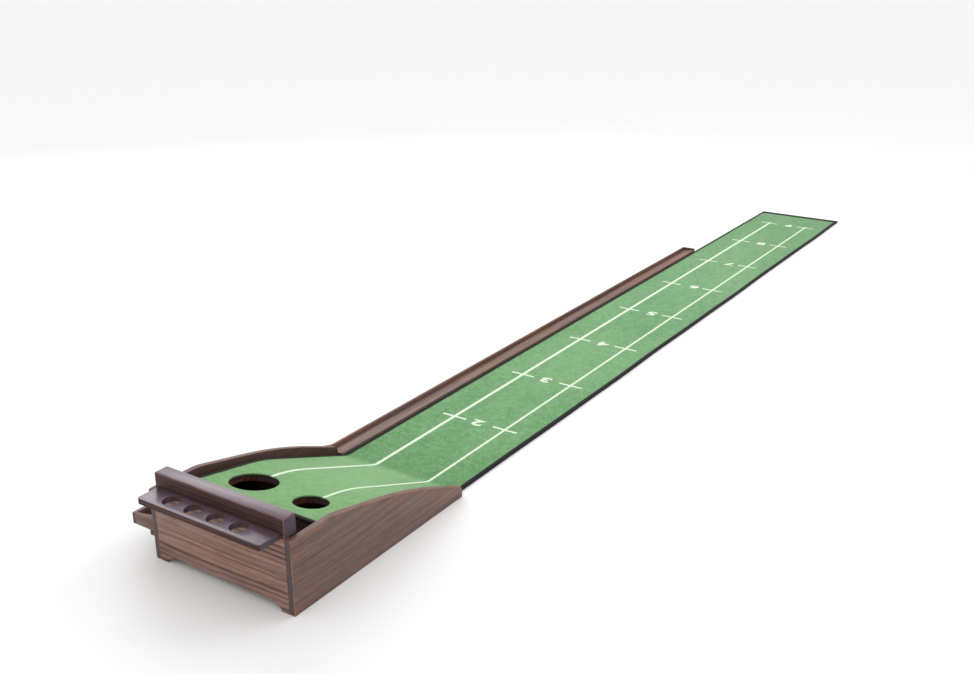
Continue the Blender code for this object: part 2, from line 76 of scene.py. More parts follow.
LARGE_HOLE = middle_of("large_hole")
SMALL_HOLE = middle_of("small_hole")
LARGE_RADIUS = 0.046
SMALL_RADIUS = 0.033
CENTRE_X = (LARGE_HOLE.x + SMALL_HOLE.x) / 2
REAR_Y = panel_low.y
MAT_LEFT, MAT_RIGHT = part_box("binding_left")[0].x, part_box("binding_right")[1].x
TURF_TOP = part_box("mat_turf_runway")[1].z
print("holes at", tuple(LARGE_HOLE), tuple(SMALL_HOLE), "mat from", MAT_LEFT, "to", MAT_RIGHT)

# %% [markdown]
# ## The camera and the light
# The camera stands behind the head, to its right, a little over a metre up, and looks down the mat. A lens
# of 40 mm gives the strong perspective of a long object seen from one end. A white world gives most of the
# light. A large soft box beyond the head, on its left, gives the tops of boards their sheen and leaves the
# faces towards the camera deeper in tone, and the ramp, which leans towards it, is a little brighter than
# the level mat. A second soft box hangs over the runway.

# %% Camera
CAMERA_PLACE = (1.2938, -2.6190, 1.0596)
CAMERA_PITCH = math.radians(90 - 20.42)
CAMERA_YAW = math.radians(33.23)
CAMERA_ROLL = math.radians(-0.11)
LENS = 40.13

camera_data = bpy.data.cameras.new("camera")
camera_data.lens = LENS
camera_data.sensor_width = 36.0
camera = bpy.data.objects.new("camera", camera_data)
scene.collection.objects.link(camera)
camera.rotation_mode = "QUATERNION"
look = Matrix.Rotation(CAMERA_YAW, 4, "Z") @ Matrix.Rotation(CAMERA_PITCH, 4, "X")
camera.matrix_world = Matrix.Translation(CAMERA_PLACE) @ look @ Matrix.Rotation(CAMERA_ROLL, 4, "Z")
scene.camera = camera
scene.view_settings.view_transform = "Standard"

# %% World, floor and lights
world = bpy.data.worlds.new("studio")
scene.world = world
world.use_nodes = True
world.node_tree.nodes["Background"].inputs["Color"].default_value = (1.0, 1.0, 1.0, 1.0)
world.node_tree.nodes["Background"].inputs["Strength"].default_value = 1.0


def area_light(name, place, target, size, power):
    data = bpy.data.lights.new(name, "AREA")
    data.shape = "DISK"
    data.size = size
    data.energy = power
    light = bpy.data.objects.new(name, data)
    light.location = place
    light.rotation_euler = (Vector(target) - Vector(place)).to_track_quat("-Z", "Y").to_euler()
    scene.collection.objects.link(light)
    return light


area_light("soft box behind, on the left", (-2.3, 0.7, 2.0), (0.0, -1.3, 0.1), 2.4, 30)
area_light("soft box over the runway", (1.6, 0.9, 2.6), (0.0, 0.1, 0.0), 2.0, 16)

bpy.ops.object.select_all(action="DESELECT")
bpy.ops.mesh.primitive_plane_add(size=90, location=(0, 0, 0))
floor = bpy.context.active_object
floor.name = "studio_floor"
floor_material = bpy.data.materials.new("pale floor")
floor_material.use_nodes = True
floor_shader = floor_material.node_tree.nodes["Principled BSDF"]
floor_shader.inputs["Base Color"].default_value = (0.93, 0.93, 0.93, 1.0)
floor_shader.inputs["Roughness"].default_value = 0.8
floor_shader.inputs["Specular IOR Level"].default_value = 0.1
floor.data.materials.append(floor_material)

# %% [markdown]
# ## Node groups
# A small helper writes node trees in a readable way: a node, the values of its sockets, and what feeds them.
# The grain of wood is used by every board, so it is a group, and each board only gives it other values.

# %% Node helpers
def add_node(tree, kind, settings=None, **inputs):
    """A node of that kind. Settings are its properties, inputs its sockets, by name or, as _0, by number."""
    node = tree.nodes.new(kind)
    for name, value in (settings or {}).items():
        setattr(node, name, value)
    for name, value in inputs.items():
        socket = node.inputs[int(name[1:])] if name.startswith("_") else node.inputs[name.replace("_", " ")]
        if isinstance(value, bpy.types.NodeSocket):
            tree.links.new(value, socket)
        else:
            socket.default_value = value
    return node


def math_node(tree, operation, *values, clamp=False):
    inputs = {f"_{index}": value for index, value in enumerate(values)}
    return add_node(tree, "ShaderNodeMath", {"operation": operation, "use_clamp": clamp}, **inputs).outputs[0]


def vector_node(tree, operation, *values, **named):
    inputs = {f"_{index}": value for index, value in enumerate(values)}
    return add_node(tree, "ShaderNodeVectorMath", {"operation": operation}, **inputs, **named).outputs[0]


def mix_colours(tree, factor, first, second, blend="MIX"):
    node = tree.nodes.new("ShaderNodeMix")
    node.data_type = "RGBA"
    node.blend_type = blend
    for socket, value in ((node.inputs[0], factor), (node.inputs[6], first), (node.inputs[7], second)):
        if isinstance(value, bpy.types.NodeSocket):
            tree.links.new(value, socket)
        else:
            socket.default_value = value
    return node.outputs[2]


def ramp(tree, factor, *stops):
    """A colour ramp through (position, grey or colour) stops."""
    node = add_node(tree, "ShaderNodeValToRGB", _0=factor)
    while len(node.color_ramp.elements) < len(stops):
        node.color_ramp.elements.new(0.5)
    for element, (position, colour) in zip(node.color_ramp.elements, stops):
        element.position = position
        element.color = (colour, colour, colour, 1.0) if isinstance(colour, float) else (*colour, 1.0)
    return node.outputs[0]


def new_group(name, inputs, outputs):
    group = bpy.data.node_groups.new(name, "ShaderNodeTree")
    for socket_name, kind, value in inputs:
        socket = group.interface.new_socket(socket_name, in_out="INPUT", socket_type=kind)
        if value is not None:
            socket.default_value = value
    for socket_name, kind in outputs:
        group.interface.new_socket(socket_name, in_out="OUTPUT", socket_type=kind)
    return group, group.nodes.new("NodeGroupInput").outputs, group.nodes.new("NodeGroupOutput")


# %% [markdown]
# ## The grain of wood
# Growth rings cut along the tree show as long lines, dark where the slow summer wood was. No two rings are
# alike, so each takes its own strength from its number. Fine fibres, pores and warm patches lie over them.

# %% Wood grain group
FLOAT, COLOUR, VECTOR = "NodeSocketFloat", "NodeSocketColor", "NodeSocketVector"
grain, given, out = new_group(
    "wood grain",
    [
        ("Vector", VECTOR, None),
        ("Light", COLOUR, (0.27, 0.17, 0.13, 1)),
        ("Dark", COLOUR, (0.06, 0.035, 0.03, 1)),
        ("Warm", COLOUR, (0.30, 0.13, 0.07, 1)),
        ("Rings", FLOAT, 160.0),
        ("Figure", FLOAT, 0.035),
        ("Contrast", FLOAT, 0.8),
        ("Flat", FLOAT, 1.0),
        ("Upright", FLOAT, 0.3),
    ],
    [("Color", COLOUR), ("Height", FLOAT), ("Roughness", FLOAT)],
)


def stretched_noise(tree, vector, along, across, detail, roughness=0.5):
    space = add_node(tree, "ShaderNodeMapping", Vector=vector, Scale=(along, across, across)).outputs[0]
    node = add_node(tree, "ShaderNodeTexNoise", Vector=space, Scale=1.0, Detail=detail, Roughness=roughness)
    return node.outputs[0]


def above(tree, value, threshold, gain):
    return math_node(tree, "MULTIPLY", math_node(tree, "SUBTRACT", value, threshold), gain, clamp=True)


# The grain runs along X of the given vector. Flat and Upright say how fast the rings pass across the board
# and up it. A slow noise bends the rings into long arches.
bend = stretched_noise(grain, given["Vector"], 1.7, 8.0, 2.0, 0.45)
split = add_node(grain, "ShaderNodeSeparateXYZ", Vector=given["Vector"]).outputs
across = math_node(grain, "MULTIPLY", split[2], given["Upright"])
across = math_node(grain, "MULTIPLY_ADD", split[1], given["Flat"], across)
bent = math_node(grain, "MULTIPLY_ADD", bend, given["Figure"], across)
turns = math_node(grain, "MULTIPLY", bent, given["Rings"])
ring_number = math_node(grain, "FLOOR", turns)
chance = add_node(grain, "ShaderNodeTexWhiteNoise", {"noise_dimensions": "1D"}, W=ring_number).outputs[0]
part_way = math_node(grain, "FRACT", turns)
ring = ramp(grain, part_way, (0.0, 0.0), (0.28, 0.12), (0.60, 0.72), (0.76, 1.0), (0.92, 0.35), (1.0, 0.0))
ring = math_node(grain, "MULTIPLY", ring, math_node(grain, "MULTIPLY_ADD", chance, 0.75, 0.25))
fibre = stretched_noise(grain, given["Vector"], 7.0, 430.0, 3.0, 0.6)
streak = stretched_noise(grain, given["Vector"], 3.0, 120.0, 3.0, 0.6)
pores = ramp(grain, stretched_noise(grain, given["Vector"], 40.0, 1000.0, 1.0), (0.33, 1.0), (0.42, 0.0))
patch = stretched_noise(grain, given["Vector"], 4.0, 16.0, 3.0)
elsewhere = add_node(grain, "ShaderNodeMapping", Vector=given["Vector"], Location=(3, 5, 1)).outputs[0]
warmth = stretched_noise(grain, elsewhere, 3.0, 34.0, 3.0)
darkness = math_node(grain, "MULTIPLY", ring, given["Contrast"])
for noise_value, threshold, gain in ((fibre, 0.42, 1.1), (streak, 0.45, 1.3), (patch, 0.50, 1.2)):
    darkness = math_node(grain, "ADD", darkness, above(grain, noise_value, threshold, gain), clamp=True)
tone = mix_colours(grain, above(grain, warmth, 0.50, 3.2), given["Light"], given["Warm"])
tone = mix_colours(grain, darkness, tone, given["Dark"])
tone = mix_colours(grain, math_node(grain, "MULTIPLY", pores, 0.5), tone, (0.012, 0.008, 0.008, 1))
grain.links.new(tone, out.inputs["Color"])
hollows = math_node(grain, "MULTIPLY_ADD", pores, -0.6, math_node(grain, "MULTIPLY", fibre, 0.4))
grain.links.new(math_node(grain, "MULTIPLY_ADD", ring, -0.2, hollows), out.inputs["Height"])
rough = math_node(grain, "MULTIPLY_ADD", darkness, 0.10, math_node(grain, "MULTIPLY_ADD", fibre, 0.14, 0.30))
grain.links.new(rough, out.inputs["Roughness"])

# %% [markdown]
# ## Stained wood
# The boards are softwood with a dark walnut stain and a satin lacquer. Each board shows its own part of the
# tree, so every material moves the grain by its own amount, and turns it to lie along the board. End grain
# drinks more stain and turns slate dark. Rounded edges carry less stain: an attribute on the mesh marks
# them, and the warm wood shows there in patches. Another attribute marks the inner face of the left side
# panel, which is darkened as painted shade. The tops of the ball holder carry a painted lilac reflection in
# patches, standing in for the sheen of their lacquer.

# %% Wood materials
ALONG = {"X": (0, 0, 0), "Y": (0, 0, math.radians(-90))}
FLAT, UPRIGHT = (1.0, 0.3), (0.3, 1.0)
END_STAIN = (0.062, 0.047, 0.058, 1)
WORN = (0.300, 0.125, 0.065, 1)
INNER_FACE_SHADE = (0.040, 0.013, 0.009, 1)
PAINTED_SHEEN = (0.180, 0.140, 0.235, 1)


def wood_material(
    name,
    along,
    shift,
    light,
    dark,
    warm,
    rings=160.0,
    figure=0.035,
    contrast=0.8,
    lie=FLAT,
    edge=0.8,
    polish=None,
):
    """A stained board. Polish is the lacquer on faces that look up, for boards that hands keep shiny, and
    such boards also get a painted lilac reflection on their tops.
    """
    material = bpy.data.materials.new(name)
    material.use_nodes = True
    tree = material.node_tree
    shader = tree.nodes["Principled BSDF"]
    chart = add_node(tree, "ShaderNodeTexCoord").outputs
    facing = add_node(tree, "ShaderNodeSeparateXYZ", Vector=chart["Normal"]).outputs
    turned = add_node(
        tree, "ShaderNodeMapping", Vector=chart["Object"], Location=shift, Rotation=ALONG[along]
    ).outputs[0]
    colours = {"Light": (*light, 1), "Dark": (*dark, 1), "Warm": (*warm, 1)}
    values = {"Rings": rings, "Figure": figure, "Contrast": contrast, "Flat": lie[0], "Upright": lie[1]}
    wood = add_node(tree, "ShaderNodeGroup", {"node_tree": grain}, Vector=turned, **colours, **values).outputs
    end = ramp(tree, math_node(tree, "ABSOLUTE", facing["XYZ".index(along)]), (0.75, 0.0), (0.92, 0.9))
    colour = mix_colours(tree, end, wood["Color"], END_STAIN)
    worn = add_node(tree, "ShaderNodeAttribute", {"attribute_name": "edge"}).outputs["Fac"]
    patchy = add_node(tree, "ShaderNodeTexNoise", Vector=chart["Object"], Scale=32.0, Detail=4.0).outputs[0]
    amount = math_node(tree, "MULTIPLY", worn, ramp(tree, patchy, (0.38, 0.25), (0.60, 1.0)))
    colour = mix_colours(tree, math_node(tree, "MULTIPLY", amount, edge), colour, WORN)
    inner = add_node(tree, "ShaderNodeAttribute", {"attribute_name": "inner"}).outputs["Fac"]
    # Painted shade: the inner face of the left side panel is darkened.
    colour = mix_colours(tree, math_node(tree, "MULTIPLY", inner, 0.72), colour, INNER_FACE_SHADE)
    tree.links.new(colour, shader.inputs["Base Color"])
    roughness = wood["Roughness"]
    if polish is None:
        roughness = math_node(tree, "ADD", roughness, 0.10)
        shader.inputs["Coat Weight"].default_value = 0.0
        shader.inputs["Specular IOR Level"].default_value = 0.36
    else:
        upward = ramp(tree, facing[2], (0.55, 0.0), (0.90, 1.0))
        tree.links.new(math_node(tree, "MULTIPLY", upward, polish), shader.inputs["Coat Weight"])
        roughness = math_node(tree, "MULTIPLY_ADD", upward, -0.22, math_node(tree, "ADD", roughness, 0.24))
        # Painted reflection: upward faces get a lilac tint in patches, standing in for the sheen of the
        # lacquer.
        painted_sheen = math_node(tree, "MULTIPLY", math_node(tree, "MULTIPLY", upward, patchy), 0.45)
        with_painted_sheen = mix_colours(tree, painted_sheen, colour, PAINTED_SHEEN)
        tree.links.new(with_painted_sheen, shader.inputs["Base Color"])
        shader.inputs["Specular IOR Level"].default_value = 0.42
        shader.inputs["Specular Tint"].default_value = (0.86, 0.80, 1.0, 1)
    tree.links.new(roughness, shader.inputs["Roughness"])
    shader.inputs["Coat Roughness"].default_value = 0.28
    bump = add_node(tree, "ShaderNodeBump", Strength=0.25, Distance=0.0006, Height=wood["Height"])
    tree.links.new(bump.outputs[0], shader.inputs["Normal"])
    return material


SIDE = dict(light=(0.185, 0.108, 0.088), dark=(0.040, 0.023, 0.023), warm=(0.290, 0.115, 0.058))
SIDE |= dict(rings=55, figure=0.055, contrast=0.30)
BACK = dict(light=(0.350, 0.205, 0.160), dark=(0.040, 0.019, 0.017), warm=(0.380, 0.155, 0.080))
BACK |= dict(rings=95, figure=0.040, contrast=0.68)
TRACK = dict(dark=(0.060, 0.030, 0.024), warm=(0.250, 0.110, 0.060), rings=210, figure=0.02, contrast=0.5)
TRACK_TONES = ((0.215, 0.135, 0.115), (0.270, 0.165, 0.120), (0.225, 0.140, 0.118), (0.285, 0.140, 0.105))
HOLDER = dict(light=(0.070, 0.028, 0.017), dark=(0.012, 0.005, 0.004), warm=(0.160, 0.052, 0.022))
HOLDER |= dict(rings=170, figure=0.02, lie=(0.6, 0.8))
INSIDE = dict(light=(0.050, 0.022, 0.018), dark=(0.014, 0.007, 0.006), warm=(0.060, 0.022, 0.016), edge=0.0)

side_wood = wood_material("side panel wood", "Y", (0.31, 0.07, 0.2), **SIDE, lie=UPRIGHT, edge=1.0)
back_wood = wood_material("back panel wood", "X", (0.9, 0.0, 0.003), **BACK, lie=UPRIGHT)
rail_wood = wood_material("rail wood", "X", (0.2, 0.4, 0.1), **HOLDER, polish=0.5)
shelf_wood = wood_material("shelf wood", "X", (0.6, 0.1, 0.3), **HOLDER, polish=0.7, edge=0.4)
chute_wood = wood_material("chute wood", "Y", (0.6, 0.25, 0.3), TRACK_TONES[0], **TRACK)
lip_wood = wood_material("chute lip wood", "X", (0.3, 0.15, 0.5), **SIDE)
track_woods = []
for number, tone in enumerate(TRACK_TONES, 1):
    shift = (0.7 + number, 0.15 + 0.3 * number, 0.6)
    track_woods.append(wood_material(f"track wood {number}", "Y", shift, tone, **TRACK, edge=0.0))
wall_wood = wood_material("track wall wood", "Y", (2.4, 0.15, 0.9), **SIDE, lie=(0.7, 0.7))
deck_wood = wood_material("deck wood", "Y", (0.4, 0.8, 0.1), **{**INSIDE, "light": (0.150, 0.042, 0.026)})
plain_wood = wood_material("plain wood", "X", (0.7, 0.2, 0.4), **INSIDE)

# %% [markdown]
# ## Boards with rounded edges
# A saw leaves a sharp edge, and a maker sands it round before staining. Each visible board starts as a copy
# of its solid. Its triangles are merged back into flat faces, and then every sharp edge is bevelled with
# three steps. The narrow faces that the bevel makes are marked, because the stain is thinner there.

# %% Board helper
SHARP = math.radians(35)


def select_only(piece):
    bpy.ops.object.select_all(action="DESELECT")
    piece.select_set(True)
    bpy.context.view_layer.objects.active = piece


def mark_edges(mesh, width):
    """Writes 1 on the corners of the narrow faces of a bevel and 0 on the others."""
    marks = mesh.attributes.new("edge", "FLOAT", "CORNER")
    for face in mesh.polygons:
        longest = max((mesh.vertices[a].co - mesh.vertices[b].co).length for a, b in face.edge_keys)
        narrow = face.area / max(longest, 1e-6) < 0.8 * width
        for loop in face.loop_indices:
            marks.data[loop].value = float(narrow)


def rounded_board(node, material, width=0.0012, segments=3):
    """A copy of the board's solid with flat faces and rounded edges, which takes the solid's place."""
    mesh = frame["nodes"][node].data.copy()
    mesh.materials.clear()
    piece = bpy.data.objects.new(node + "_board", mesh)
    scene.collection.objects.link(piece)
    select_only(piece)
    bpy.ops.object.mode_set(mode="EDIT")
    bpy.ops.mesh.select_all(action="SELECT")
    bpy.ops.mesh.remove_doubles(threshold=0.00002)
    bpy.ops.mesh.dissolve_limited(angle_limit=math.radians(0.5))
    bpy.ops.object.mode_set(mode="OBJECT")
    bevel = piece.modifiers.new("rounded edges", "BEVEL")
    bevel.width = width
    bevel.segments = segments
    bevel.limit_method = "ANGLE"
    bevel.angle_limit = SHARP
    bpy.ops.object.modifier_apply(modifier=bevel.name)
    mark_edges(mesh, width)
    bpy.ops.object.shade_smooth_by_angle(angle=SHARP)
    mesh.materials.append(material)
    body = next(name for name, nodes in record["behaviour"]["bodies"].items() if node in nodes)
    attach(piece, body)
    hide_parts(node)
    print(node, len(mesh.polygons), "faces")
    return piece


# %% Boards of the head
left_panel = rounded_board("side_panel_left", side_wood, 0.0018)
rounded_board("side_panel_right", side_wood, 0.0018)
# The inner face of the left panel is marked here for its painted shade.
inner_marks = left_panel.data.attributes.new("inner", "FLOAT", "FACE")
for face, mark in zip(left_panel.data.polygons, inner_marks.data):
    mark.value = float(face.normal.x > 0.7)
rounded_board("back_panel", back_wood, 0.0008)
for node in ("chute_floor", "chute_wall", "chute_batten"):
    rounded_board(node, chute_wood, 0.0008)
rounded_board("chute_end_lip", lip_wood, 0.0008)

# %% Boards of the ball holder
rounded_board("holder_shelf", shelf_wood, 0.0014)
rounded_board("holder_rail", rail_wood, 0.0008)

# %% Boards of the track
for number, track_wood in enumerate(track_woods, 1):
    rounded_board(f"track_floor_{number}", track_wood, 0.0009)
    rounded_board(f"track_wall_{number}", wall_wood, 0.0009)
rounded_board("track_end_stop", wall_wood, 0.0009)

# %% [markdown]
# ## Inner boards and pins
# The deck, its rails and the collector sit deep inside the head, where only their faces can be seen through
# the holes. Their solids already have the right shape, so they only get a material.

# %% Inner boards and pins
def paint(node, material):
    piece = frame["nodes"][node]
    piece.data.materials.clear()
    piece.data.materials.append(material)


paint("ramp_deck", deck_wood)
for node in ("cross_rail_mid", "cross_rail_front", "collector_floor", "collector_stop"):
    paint(node, plain_wood)

steel = bpy.data.materials.new("pin steel")
steel.use_nodes = True
steel_tree = steel.node_tree
steel_shader = steel_tree.nodes["Principled BSDF"]
steel_place = add_node(steel_tree, "ShaderNodeTexCoord").outputs["Object"]
scratches = add_node(steel_tree, "ShaderNodeTexNoise", Vector=steel_place, Scale=900.0, Detail=3.0).outputs[0]
steel_tree.links.new(ramp(steel_tree, scratches, (0.3, 0.28), (0.7, 0.48)), steel_shader.inputs["Roughness"])
steel_shader.inputs["Base Color"].default_value = (0.56, 0.55, 0.54, 1)
steel_shader.inputs["Metallic"].default_value = 1.0
for node in frame["nodes"]:
    if "_pin_" in node:
        paint(node, steel)

# %% [markdown]
# ## The line that the mat follows
# The face of the turf falls gently over the rear of the deck, bends down the ramp and settles on the floor.
# The upper faces of the turf's solids hold the points of that line. It is read once, and both the turf and
# the tapes follow it, measured by length along the line, so that the sheet isn't stretched.

# %% Read the mat's line from the solids
TURF_NODES = [node for node in frame["nodes"] if node.startswith("mat_turf")]
TAPE_STEP = far_high.z - TURF_TOP  # from the turf up to the outside of the tapes


def face_line():
    """Points (y, z) of the upper face of the turf's solids, carried on to both ends of the mat."""
    found = {}
    for node in TURF_NODES:
        mesh = frame["nodes"][node].data
        for face in mesh.polygons:
            if face.normal.z > 0.5:
                found.update({round(mesh.vertices[i].co.y, 5): mesh.vertices[i].co.z for i in face.vertices})
    points = np.array(sorted(found.items()))
    head_y, far_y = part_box("binding_head")[0].y, far_high.y
    slope = (points[1, 1] - points[0, 1]) / (points[1, 0] - points[0, 0])
    head_end = (head_y, points[0, 1] + slope * (head_y - points[0, 0]))
    return np.vstack([head_end, points, (far_y, points[-1, 1])])


line = face_line()
steps = np.diff(line, axis=0)
line_length = np.concatenate([[0], np.cumsum(np.hypot(steps[:, 0], steps[:, 1]))])
MAT_LENGTH = float(line_length[-1])
print("the mat is", round(MAT_LENGTH, 3), "m long, measured along its face")


def on_line(length, rise=0.0):
    """Points (y, z) at lengths along the turf's face, moved out from it by rise."""
    length = np.asarray(length, float)
    step = 0.004
    ahead, behind = np.minimum(length + step, MAT_LENGTH), np.maximum(length - step, 0)
    slope_y = np.interp(ahead, line_length, line[:, 0]) - np.interp(behind, line_length, line[:, 0])
    slope_z = np.interp(ahead, line_length, line[:, 1]) - np.interp(behind, line_length, line[:, 1])
    size = np.hypot(slope_y, slope_z)
    y = np.interp(length, line_length, line[:, 0]) - slope_z / size * rise
    return y, np.interp(length, line_length, line[:, 1]) + slope_y / size * rise


def edge_wander(length):
    """How far the free right edge bows out, because a cut mat is never quite straight."""
    length = np.asarray(length, float)
    free = np.clip((length - 0.5) / 0.4, 0, 1) * np.clip((MAT_LENGTH - length) / 0.3, 0, 1)
    return free * (0.0009 * (1 + np.sin(length * 7.1 + 0.7)) + 0.0005 * (1 + np.sin(length * 15.7 + 2.0)))


# %% [markdown]
# ## The turf
# A short dense pile stands on a rubber backing. At arm's length it reads as a surface of small tufts, so the
# sheet is a fine grid whose points are lifted by a few tenths of a millimetre of noise, and a bump in the
# material adds single fibres. The two holes are cut last, with their rims ragged as cut pile is.

# %% Turf sheet
TURF_GRID = 0.0034
TURF_THICKNESS = 0.0029
TUFT = 0.00022
INSET = 0.0009


def rim_noise(x, y):
    return noise.noise(Vector((x * 420.0, y * 420.0, 3.0)))


def turf_sheet():
    left, right = MAT_LEFT + INSET, MAT_RIGHT - INSET
    start, end = INSET, MAT_LENGTH - INSET
    columns = int((right - left) / TURF_GRID)
    rows = int((end - start) / TURF_GRID)
    xs = np.linspace(left, right, columns + 1)
    lengths = np.linspace(start, end, rows + 1)
    mesh = bpy.data.meshes.new("turf")
    top_y, top_z = on_line(lengths)
    bow = edge_wander(lengths)
    towards_edge = ((xs - left) / (right - left)) ** 3
    points = np.stack(
        [
            (xs[None, :] + bow[:, None] * towards_edge[None, :]).reshape(-1),
            np.repeat(top_y, columns + 1),
            np.repeat(top_z, columns + 1),
        ],
        axis=1,
    )
    lifts = np.array([noise.fractal(Vector(p) * 300.0, 0.6, 2.0, 3) for p in points])
    points[:, 2] += np.clip(lifts, -1, 1) * TUFT - TUFT
    low_y, low_z = on_line(lengths, -TURF_THICKNESS)
    low = []
    for y, z, out in zip(low_y, low_z, bow):
        low.extend(((left, y, z), (right + out, y, z)))
    count = len(points)
    wide = columns + 1
    faces = []
    for row in range(rows):
        first = row * wide
        for column in range(columns):
            a = first + column
            faces.append((a, a + 1, a + 1 + wide, a + wide))
        b = count + 2 * row
        faces.append((b, b + 2, b + 3, b + 1))
        faces.append((first, first + wide, b + 2, b))
        faces.append((first + columns, b + 1, b + 3, first + wide + columns))
    last = rows * wide
    b = count + 2 * rows
    faces.append(tuple(range(columns + 1)[::-1]) + (count, count + 1))
    faces.append(tuple(last + column for column in range(columns + 1)) + (b + 1, b))
    mesh.from_pydata(np.vstack([points, np.array(low)]).tolist(), [], faces)
    piece = bpy.data.objects.new("turf", mesh)
    scene.collection.objects.link(piece)
    shape = bmesh.new()
    shape.from_mesh(mesh)
    bmesh.ops.recalc_face_normals(shape, faces=shape.faces)
    shape.to_mesh(mesh)
    shape.free()
    return piece


def hole_cutter(centre, radius):
    bpy.ops.mesh.primitive_cylinder_add(vertices=160, radius=radius, depth=0.2, location=centre)
    cutter = bpy.context.active_object
    for vertex in cutter.data.vertices:
        ragged = 1 + 0.006 * rim_noise(vertex.co.x, vertex.co.y)
        vertex.co.x *= ragged
        vertex.co.y *= ragged
    return cutter


turf = turf_sheet()
for centre, radius in ((LARGE_HOLE, LARGE_RADIUS), (SMALL_HOLE, SMALL_RADIUS)):
    cutter = hole_cutter(centre, radius)
    select_only(turf)
    modifier = turf.modifiers.new("hole", "BOOLEAN")
    modifier.object = cutter
    modifier.solver = "EXACT"
    bpy.ops.object.modifier_apply(modifier=modifier.name)
    bpy.data.objects.remove(cutter)
bpy.ops.object.shade_smooth_by_angle(angle=math.radians(50))
print("turf", len(turf.data.polygons), "faces")

# %% [markdown]
# ## The printed lines
# Two white lines run from the holes to the far end, with a row of short ticks every foot. They are printed on
# the pile, so they belong in its colour. Object coordinates say where each band is, and a fine noise frays
# their edges as fibres do.

# %% Turf material
LINE_X = (SMALL_HOLE.x - LARGE_HOLE.x) / 2
LEFT_LINE_HALF, RIGHT_LINE_HALF = 0.0041, 0.0031
LINE_END = REAR_Y + 2.934
FIRST_ROW = REAR_Y + 0.788
FOOT = 0.3048
ROWS = 8
TICK_HALF_LENGTH = 0.032
TICK_HALF = 0.0033
FRAY = 0.0035  # size of the noise that frays the edges of the print
RAMP_END = panel_high.y

turf_material = bpy.data.materials.new("turf")
turf_material.use_nodes = True
tree = turf_material.node_tree
shader = tree.nodes["Principled BSDF"]
place = add_node(tree, "ShaderNodeTexCoord").outputs["Object"]
fibres = add_node(tree, "ShaderNodeTexNoise", Vector=place, Scale=650.0, Detail=2.0, Roughness=0.6)
centred = vector_node(tree, "SUBTRACT", fibres.outputs["Color"], (0.5, 0.5, 0.5))
frayed = vector_node(tree, "ADD", place, vector_node(tree, "SCALE", centred, Scale=FRAY))
x, y = add_node(tree, "ShaderNodeSeparateXYZ", Vector=frayed).outputs[:2]
from_centre = math_node(tree, "ABSOLUTE", math_node(tree, "SUBTRACT", x, CENTRE_X))
from_line = math_node(tree, "ABSOLUTE", math_node(tree, "SUBTRACT", from_centre, LINE_X))
near_end = math_node(tree, "LESS_THAN", y, LINE_END)
past_hole = math_node(tree, "GREATER_THAN", y, LARGE_HOLE.y)
on_right = math_node(tree, "GREATER_THAN", x, CENTRE_X)
half = math_node(tree, "MULTIPLY_ADD", on_right, RIGHT_LINE_HALF - LEFT_LINE_HALF, LEFT_LINE_HALF)
long_line = math_node(tree, "LESS_THAN", from_line, half)
long_line = math_node(tree, "MULTIPLY", long_line, math_node(tree, "MULTIPLY", near_end, past_hole))
row_phase = math_node(tree, "DIVIDE", math_node(tree, "SUBTRACT", y, FIRST_ROW - FOOT / 2), FOOT)
from_row = math_node(tree, "ABSOLUTE", math_node(tree, "SUBTRACT", math_node(tree, "FRACT", row_phase), 0.5))
tick = math_node(tree, "LESS_THAN", from_row, TICK_HALF / FOOT)
tick = math_node(tree, "MULTIPLY", tick, math_node(tree, "LESS_THAN", from_line, TICK_HALF_LENGTH))
tick = math_node(tree, "MULTIPLY", tick, math_node(tree, "GREATER_THAN", row_phase, 0.0))
tick = math_node(tree, "MULTIPLY", tick, math_node(tree, "LESS_THAN", row_phase, float(ROWS)))
printed = math_node(tree, "MAXIMUM", long_line, tick)

tufts = add_node(tree, "ShaderNodeTexNoise", Vector=place, Scale=420.0, Detail=4.0, Roughness=0.65).outputs[0]
clumps = add_node(tree, "ShaderNodeTexNoise", Vector=place, Scale=55.0, Detail=3.0, Roughness=0.6).outputs[0]
lay_space = add_node(tree, "ShaderNodeMapping", Vector=place, Scale=(5.0, 1.6, 5.0)).outputs[0]
lay = add_node(tree, "ShaderNodeTexNoise", Vector=lay_space, Scale=1.0, Detail=3.0).outputs[0]
GREEN_DARK, GREEN_MID, GREEN_PALE = (0.042, 0.168, 0.042), (0.125, 0.325, 0.120), (0.240, 0.455, 0.210)
green = ramp(tree, tufts, (0.30, GREEN_DARK), (0.50, GREEN_MID), (0.72, GREEN_PALE))
green = mix_colours(tree, ramp(tree, clumps, (0.38, 0.42), (0.60, 0.0)), green, (*GREEN_DARK, 1))
blotches = add_node(tree, "ShaderNodeTexNoise", Vector=place, Scale=130.0, Detail=2.0).outputs[0]
green = mix_colours(tree, ramp(tree, blotches, (0.50, 0.0), (0.70, 0.28)), green, (*GREEN_PALE, 1))
green = mix_colours(tree, ramp(tree, blotches, (0.32, 0.28), (0.48, 0.0)), green, (*GREEN_DARK, 1))
green = mix_colours(tree, ramp(tree, lay, (0.42, 0.0), (0.62, 0.25)), green, (*GREEN_PALE, 1))
# The pile lies towards the player on the ramp and shows more of its pale tips there, and the paler tint is
# also painted light for the slope that leans towards the light.
on_ramp = add_node(tree, "ShaderNodeMapRange", Value=y, From_Min=RAMP_END + 0.012, From_Max=RAMP_END - 0.012)
pale_tips_and_light = math_node(tree, "MULTIPLY", on_ramp.outputs[0], 0.20)
green = mix_colours(tree, pale_tips_and_light, green, (0.270, 0.500, 0.130, 1))
